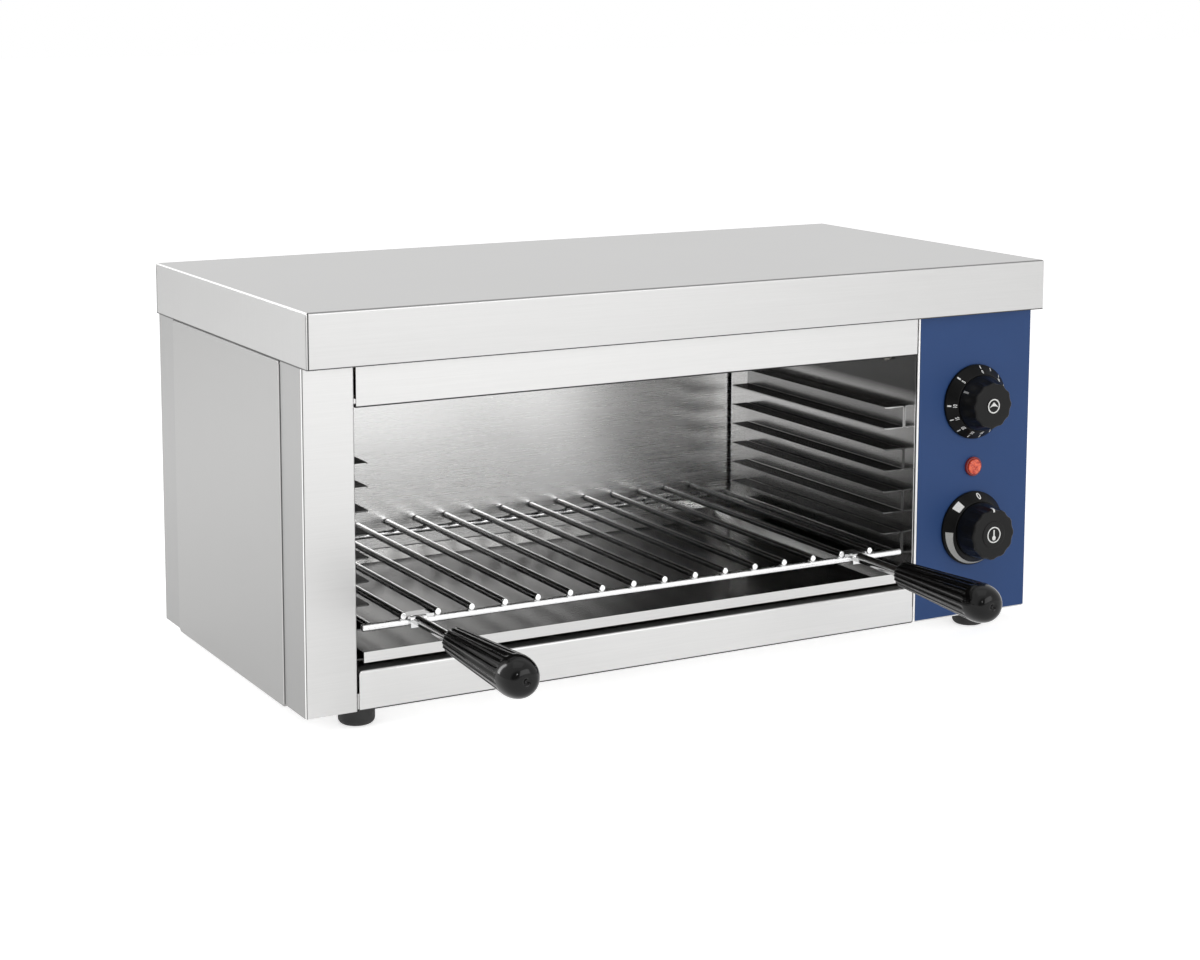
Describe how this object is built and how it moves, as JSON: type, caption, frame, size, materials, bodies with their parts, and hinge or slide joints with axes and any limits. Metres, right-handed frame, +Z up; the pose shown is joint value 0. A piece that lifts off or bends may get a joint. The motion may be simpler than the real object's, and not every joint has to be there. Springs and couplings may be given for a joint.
{
  "type": "cheese melter",
  "caption": "Open-fronted electric countertop grill with a sliding wire grate, drip tray, two front grips, a blue control panel with timer and thermostat knobs, and rubber feet.",
  "frame": {"origin": "on the counter, under the middle of the bounding box", "axes": "+X to the right seen from the front, +Y to the back, +Z up"},
  "size_m": [0.61, 0.464, 0.289],
  "materials": {
    "brushed_casing": "brushed",
    "chamber_steel": "satin",
    "blue_fascia": "satin",
    "grate_chrome": "polished",
    "black_phenolic": "glossy",
    "element_sheath": "oxidised",
    "brass_fittings": "machined",
    "white_ceramic": "glazed ceramic",
    "insulation_fibre": "mineral fibre",
    "grey_control_case": "moulded",
    "copper_capillary": "copper",
    "plated_steel": "zinc plated",
    "red_bezel": "glossy",
    "red_lens": "ribbed",
    "black_nylon": "moulded",
    "wire_insulation": "silicone sleeve",
    "foot_rubber": "matt"
  },
  "bodies": {
    "casing": {"top_cover": "brushed_casing", "left_side_panel": "brushed_casing", "right_side_panel": "brushed_casing", "left_front_post": "brushed_casing", "top_front_rail": "brushed_casing", "lower_front_rail": "brushed_casing", "control_panel": "brushed_casing", "control_fascia": "blue_fascia", "rear_panel": "brushed_casing", "base_plate": "brushed_casing", "left_inner_wall": "chamber_steel", "right_inner_wall": "chamber_steel", "inner_rear_wall": "chamber_steel", "ceiling_reflector": "chamber_steel", "ceiling_insulation": "insulation_fibre", "left_tray_rail": "chamber_steel", "right_tray_rail": "chamber_steel", "front_heating_element": "element_sheath", "rear_heating_element": "element_sheath", "element_hangers": "chamber_steel", "element_bushings": "brass_fittings", "element_terminals": "white_ceramic", "timer_body": "grey_control_case", "thermostat_body": "grey_control_case", "thermostat_sensor": "copper_capillary", "pilot_lamp_body": "red_bezel", "pilot_lamp_lens": "red_lens", "terminal_block": "white_ceramic", "cable_gland": "black_nylon", "gland_nut": "black_nylon", "earth_stud": "brass_fittings", "wiring_loom": "wire_insulation", "foot_screws": "plated_steel", "case_screws": "plated_steel", "front_left_foot": "foot_rubber", "front_right_foot": "foot_rubber", "rear_left_foot": "foot_rubber", "rear_right_foot": "foot_rubber", "left_runner_1": "chamber_steel", "left_runner_2": "chamber_steel", "left_runner_3": "chamber_steel", "left_runner_4": "chamber_steel", "right_runner_1": "chamber_steel", "right_runner_2": "chamber_steel", "right_runner_3": "chamber_steel", "right_runner_4": "chamber_steel"},
    "grate": {"grate_wires": "grate_chrome", "grate_crossbars": "grate_chrome", "grate_side_rods": "grate_chrome", "left_grate_handle": "grate_chrome", "right_grate_handle": "grate_chrome", "left_grip": "black_phenolic", "right_grip": "black_phenolic"},
    "tray": {"drip_tray": "brushed_casing"},
    "timer": {"timer_knob": "black_phenolic", "timer_dial": "black_phenolic", "timer_spindle": "plated_steel"},
    "thermostat": {"thermostat_knob": "black_phenolic", "thermostat_dial": "black_phenolic", "thermostat_spindle": "plated_steel"}
  },
  "joints": [
    {"name": "grate_slide", "type": "slide", "parent": "casing", "child": "grate", "axis": [0, -1, 0], "range_m": [0, 0.215]},
    {"name": "tray_slide", "type": "slide", "parent": "casing", "child": "tray", "axis": [0, -1, 0], "range_m": [0, 0.23]},
    {"name": "timer_turn", "type": "hinge", "parent": "casing", "child": "timer", "pos_m": [0.2505, -0.0741, 0.1807], "axis": [0, 1, 0], "range_deg": [0, 317]},
    {"name": "thermostat_turn", "type": "hinge", "parent": "casing", "child": "thermostat", "pos_m": [0.2505, -0.0741, 0.081], "axis": [0, 1, 0], "range_deg": [0, 290]}
  ]
}
